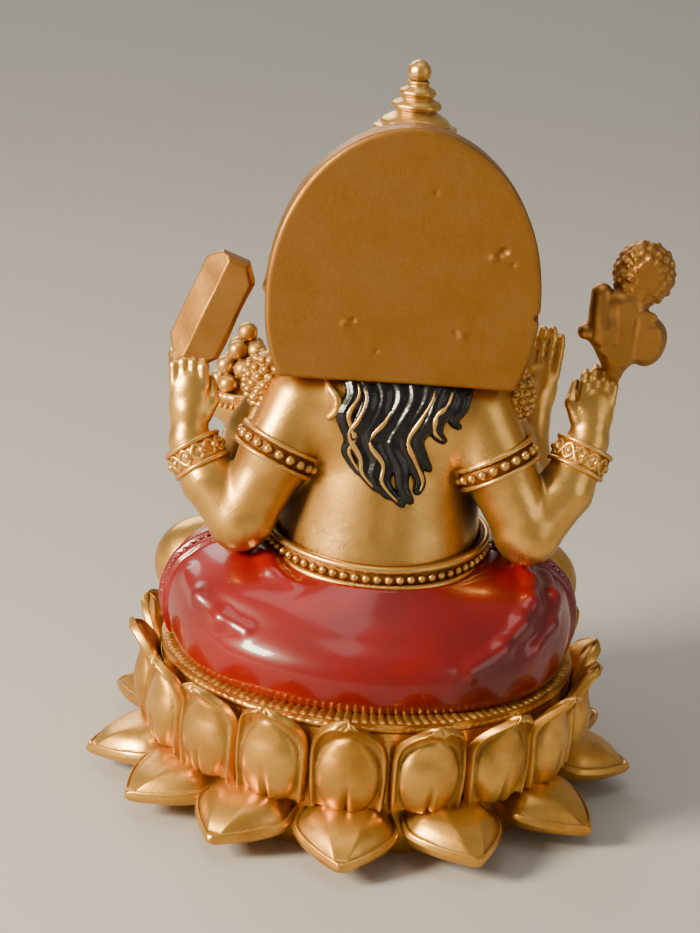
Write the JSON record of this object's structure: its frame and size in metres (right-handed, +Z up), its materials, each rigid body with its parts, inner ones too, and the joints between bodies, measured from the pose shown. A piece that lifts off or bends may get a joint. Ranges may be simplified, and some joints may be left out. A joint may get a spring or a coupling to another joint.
{
  "type": "seated elephant-headed idol",
  "caption": "Four-armed, elephant-headed figure seated on a lotus pedestal, cast in resin, with a flat back plate; stands on its flat foot.",
  "frame": {"origin": "centre of the flat round foot of the pedestal, on the surface that it stands on", "axes": "+Z up; the figure looks along -Y, so its back plate faces +Y; +X is the figure's own left"},
  "size_m": [0.1149, 0.1145, 0.15],
  "materials": {
    "lotus_gold": "satin metallic gold paint on resin with brown antiquing",
    "skin_gold": "satin metallic gold paint on resin",
    "ornament_gold": "gold paint with a dark wash in the recesses",
    "offering_gold": "brownish gold paint",
    "plate_gold": "dull bronze-gold paint, plain",
    "dhoti_red": "gloss deep red enamel",
    "hair_black": "gloss black enamel with gold strands",
    "tusk_ivory": "satin ivory paint"
  },
  "bodies": {
    "root": {"axe_head": "offering_gold", "back_plate": "plate_gold", "crown": "ornament_gold", "dhoti": "dhoti_red", "finial": "ornament_gold", "front_left_arm": "skin_gold", "front_right_arm": "skin_gold", "hair": "hair_black", "head": "skin_gold", "left_ear": "skin_gold", "left_leg": "skin_gold", "left_tusk": "tusk_ivory", "lotus_base": "lotus_gold", "lotus_bud": "offering_gold", "lower_petal_01": "lotus_gold", "lower_petal_02": "lotus_gold", "lower_petal_03": "lotus_gold", "lower_petal_04": "lotus_gold", "lower_petal_05": "lotus_gold", "lower_petal_06": "lotus_gold", "lower_petal_07": "lotus_gold", "lower_petal_08": "lotus_gold", "lower_petal_09": "lotus_gold", "lower_petal_10": "lotus_gold", "lower_petal_11": "lotus_gold", "lower_petal_12": "lotus_gold", "lower_petal_13": "lotus_gold", "rear_armlets": "ornament_gold", "rear_left_arm": "skin_gold", "rear_left_bangle": "ornament_gold", "rear_left_hand": "skin_gold", "rear_right_arm": "skin_gold", "rear_right_bangle": "ornament_gold", "rear_right_hand": "skin_gold", "right_ear": "skin_gold", "right_leg": "skin_gold", "right_tusk": "tusk_ivory", "seed_head": "lotus_gold", "sweet_bowl": "offering_gold", "sweets": "offering_gold", "torso": "skin_gold", "upper_petal_01": "lotus_gold", "upper_petal_02": "lotus_gold", "upper_petal_03": "lotus_gold", "upper_petal_04": "lotus_gold", "upper_petal_05": "lotus_gold", "upper_petal_06": "lotus_gold", "upper_petal_07": "lotus_gold", "upper_petal_08": "lotus_gold", "upper_petal_09": "lotus_gold", "upper_petal_10": "lotus_gold", "upper_petal_11": "lotus_gold", "upper_petal_12": "lotus_gold", "upper_petal_13": "lotus_gold", "upper_petal_14": "lotus_gold", "upper_petal_15": "lotus_gold", "upper_petal_16": "lotus_gold", "upper_petal_17": "lotus_gold", "upper_petal_18": "lotus_gold", "waist_belt": "ornament_gold"}
  },
  "joints": []
}
